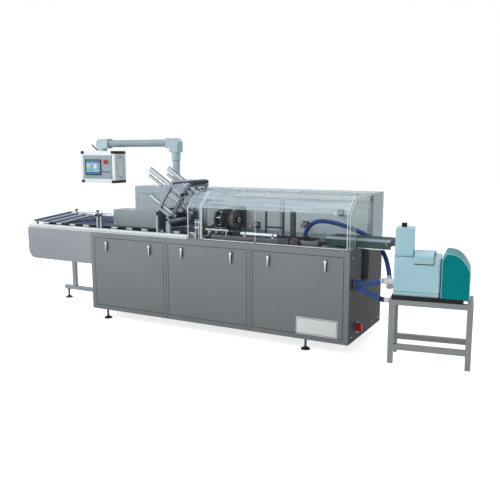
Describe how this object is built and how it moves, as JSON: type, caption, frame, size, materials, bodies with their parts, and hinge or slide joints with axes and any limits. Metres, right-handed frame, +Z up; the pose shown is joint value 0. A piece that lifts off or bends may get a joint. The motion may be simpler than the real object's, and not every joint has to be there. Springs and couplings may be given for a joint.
{
  "type": "automatic cartoner",
  "caption": "Horizontal cartoning machine with bucket infeed, tilted carton magazine, clear lift guards, discharge belt, swing-arm panel and hot-melt glue unit on a stand.",
  "frame": {"origin": "middle of the footprint without the hoses, on the floor", "axes": "+X along the machine from the infeed to the glue unit, +Y from the operator's side to the back, +Z up"},
  "size_m": [4.3526, 0.886, 1.726],
  "materials": {
    "stainless": "brushed",
    "stainless_door": "brushed",
    "bright_steel": "polished",
    "light_steel": "satin",
    "dark_metal": "satin",
    "red": "gloss",
    "bucket_steel": "brushed",
    "pale_panel": "satin",
    "arm_grey": "satin",
    "black": "matte",
    "panel_white": "satin",
    "panel_face": "satin",
    "screen": "gloss",
    "button": "gloss",
    "clear_guard": "clear",
    "green": "satin",
    "belt": "matte",
    "stand_grey": "satin",
    "aqua": "satin",
    "teal": "gloss",
    "fitting": "matte",
    "hose": "woven"
  },
  "bodies": {
    "machine": {"cabinet_housing": "stainless", "worktop": "stainless", "cabinet_doors": "stainless_door", "door_latches": "bright_steel", "levelling_feet": "dark_metal", "main_switch": "red", "infeed_trough": "stainless", "infeed_leg": "light_steel", "front_rail": "bright_steel", "back_guide": "bucket_steel", "infeed_slide": "bucket_steel", "guide_brackets": "bright_steel", "bucket_chain": "dark_metal", "chain_wheels": "light_steel", "buckets": "bucket_steel", "bucket_ends": "black", "lane_slats": "bright_steel", "drive_cover": "stainless", "pusher_cabinet": "pale_panel", "pusher_panels": "pale_panel", "arm_post": "arm_grey", "magazine_frame": "light_steel", "magazine_bars": "bright_steel", "magazine_head": "dark_metal", "feeder_drive": "dark_metal", "feeder_head": "dark_metal", "feeder_wheel": "black", "carton_bed": "dark_metal", "carton_chain": "dark_metal", "hold_down_tube": "bright_steel", "guide_posts": "dark_metal", "tuck_station": "dark_metal", "glue_gun": "dark_metal", "guard_end_left": "clear_guard", "guard_end_right": "clear_guard", "guard_header": "light_steel", "belt_frame": "green", "belt_rail": "bright_steel", "discharge_belt": "belt", "belt_rollers": "light_steel", "stand": "stand_grey", "glue_tray": "black", "glue_tank": "aqua", "pump_tower": "aqua", "control_cover": "teal", "hose_ports": "fitting", "hose_upper": "hose", "hose_middle": "hose", "hose_lower": "hose"},
    "arm": {"swing_arm": "arm_grey"},
    "panel": {"clamp_lever": "black", "panel_neck": "arm_grey", "panel_box": "panel_white", "panel_corners": "black", "panel_face": "panel_face", "panel_screen": "screen", "emergency_stop": "red", "panel_buttons": "button", "panel_handles": "bright_steel"},
    "left_guard": {"guard_door_left": "clear_guard"},
    "right_guard": {"guard_door_right": "clear_guard"},
    "lid": {"tank_lid": "aqua"}
  },
  "joints": [
    {"name": "arm_swivel", "type": "hinge", "parent": "machine", "child": "arm", "pos_m": [-0.7863, 0.28, 1.585], "axis": [0, 0, 1], "range_deg": [-45, 90]},
    {"name": "panel_swivel", "type": "hinge", "parent": "arm", "child": "panel", "pos_m": [-1.7263, 0.28, 1.6245], "axis": [0, 0, 1], "range_deg": [-75, 75]},
    {"name": "left_guard_lift", "type": "hinge", "parent": "machine", "child": "left_guard", "pos_m": [0.2037, 0.119, 1.241], "axis": [-1, 0, 0], "range_deg": [0, 75]},
    {"name": "right_guard_lift", "type": "hinge", "parent": "machine", "child": "right_guard", "pos_m": [0.8537, 0.119, 1.241], "axis": [-1, 0, 0], "range_deg": [0, 75]},
    {"name": "lid_hinge", "type": "hinge", "parent": "machine", "child": "lid", "pos_m": [1.783, -0.1155, 0.835], "axis": [-0.9877, -0.1564, 0], "range_deg": [0, 85]}
  ]
}
